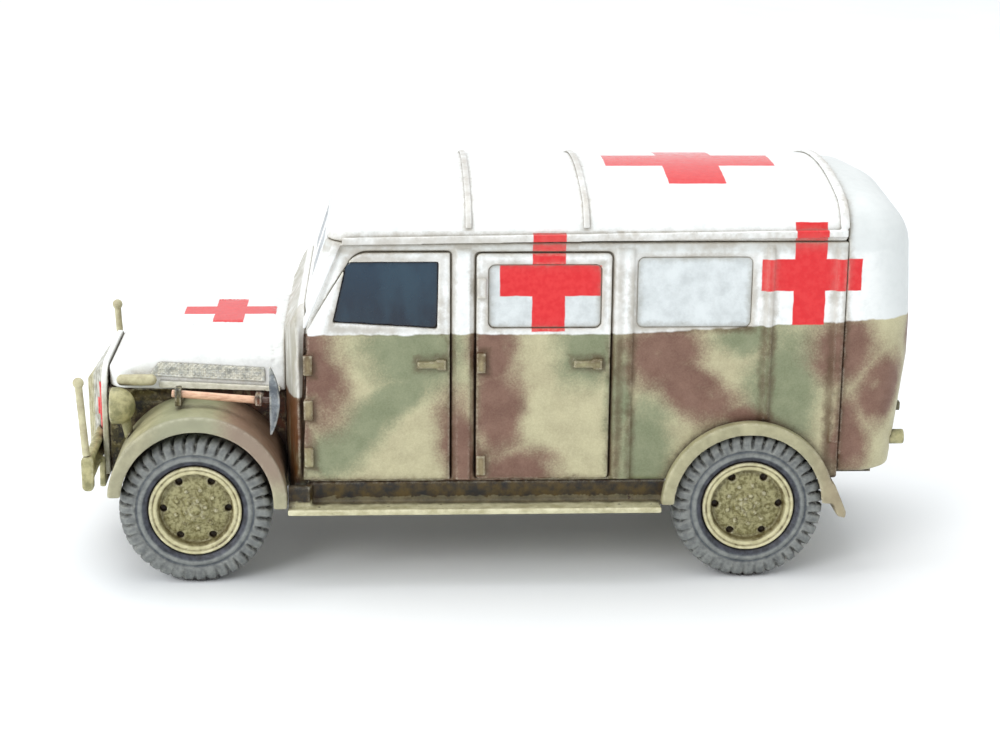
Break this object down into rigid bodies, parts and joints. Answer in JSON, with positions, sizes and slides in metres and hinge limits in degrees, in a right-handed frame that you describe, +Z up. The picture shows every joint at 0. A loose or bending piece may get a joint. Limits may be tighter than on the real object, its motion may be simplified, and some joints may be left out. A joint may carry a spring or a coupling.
{
  "type": "military ambulance truck model",
  "caption": "Hand-painted scale model of a military ambulance truck: long nose, boxy body with domed roof, camouflage, white upper half and red crosses; each wheel turns.",
  "frame": {"origin": "on the ground, at the middle of the model's bounding box", "axes": "+X forward along the vehicle, +Y to the vehicle's left, +Z up"},
  "size_m": [0.0878, 0.036, 0.0424],
  "materials": {
    "white_paint": "hand-painted, washed in the seams",
    "camouflage_paint": "sand, green and red-brown, airbrushed",
    "chassis_paint": "sand with a dark wash",
    "tyre_paint": "blue-black, dry-brushed",
    "dark_glazing": "painted gloss blue-black",
    "frosted_glazing": "painted frosted white",
    "painted_wood": "painted as wood",
    "painted_steel": "painted as steel"
  },
  "bodies": {
    "vehicle": {"roof": "white_paint", "roof_trim": "white_paint", "cowl": "white_paint", "bonnet": "white_paint", "louvre_panel_left": "white_paint", "louvre_panel_right": "white_paint", "radiator_shell": "white_paint", "cabin_block": "camouflage_paint", "tail_block": "camouflage_paint", "front_door_left": "camouflage_paint", "front_door_right": "camouflage_paint", "side_door_left": "camouflage_paint", "side_door_right": "camouflage_paint", "tail_door_left": "camouflage_paint", "tail_door_right": "camouflage_paint", "engine_bay": "camouflage_paint", "front_mudguard_left": "camouflage_paint", "front_mudguard_right": "camouflage_paint", "rear_mudguard_left": "camouflage_paint", "rear_mudguard_right": "camouflage_paint", "running_board_left": "camouflage_paint", "running_board_right": "camouflage_paint", "headlamp_left": "camouflage_paint", "headlamp_right": "camouflage_paint", "horn_left": "camouflage_paint", "horn_right": "camouflage_paint", "front_bumper": "camouflage_paint", "width_pole_left": "camouflage_paint", "width_pole_right": "camouflage_paint", "tool_clips": "camouflage_paint", "frame_rail_left": "chassis_paint", "frame_rail_right": "chassis_paint", "cross_members": "chassis_paint", "front_axle": "chassis_paint", "rear_axle": "chassis_paint", "spring_front_left": "chassis_paint", "spring_front_right": "chassis_paint", "spring_rear_left": "chassis_paint", "spring_rear_right": "chassis_paint", "gearbox": "chassis_paint", "transfer_case": "chassis_paint", "exhaust": "chassis_paint", "tail_lamp_left": "chassis_paint", "tail_lamp_right": "chassis_paint", "cab_windows": "dark_glazing", "ward_windows": "frosted_glazing", "pickaxe_handle": "painted_wood", "pickaxe_head": "painted_steel", "radiator_grille": "painted_steel", "propeller_shafts": "painted_steel"},
    "front_left_wheel": {"wheel_front_left": "camouflage_paint", "tyre_front_left": "tyre_paint"},
    "front_right_wheel": {"wheel_front_right": "camouflage_paint", "tyre_front_right": "tyre_paint"},
    "rear_left_wheel": {"wheel_rear_left": "camouflage_paint", "tyre_rear_left": "tyre_paint"},
    "rear_right_wheel": {"wheel_rear_right": "camouflage_paint", "tyre_rear_right": "tyre_paint"}
  },
  "joints": [
    {"name": "front_left_wheel_spin", "type": "hinge", "parent": "vehicle", "child": "front_left_wheel", "pos_m": [0.031, 0.0144, 0.008], "axis": [0, 1, 0], "continuous": true},
    {"name": "front_right_wheel_spin", "type": "hinge", "parent": "vehicle", "child": "front_right_wheel", "pos_m": [0.031, -0.0144, 0.008], "axis": [0, 1, 0], "continuous": true},
    {"name": "rear_left_wheel_spin", "type": "hinge", "parent": "vehicle", "child": "rear_left_wheel", "pos_m": [-0.027, 0.0144, 0.008], "axis": [0, 1, 0], "continuous": true},
    {"name": "rear_right_wheel_spin", "type": "hinge", "parent": "vehicle", "child": "rear_right_wheel", "pos_m": [-0.027, -0.0144, 0.008], "axis": [0, 1, 0], "continuous": true}
  ]
}
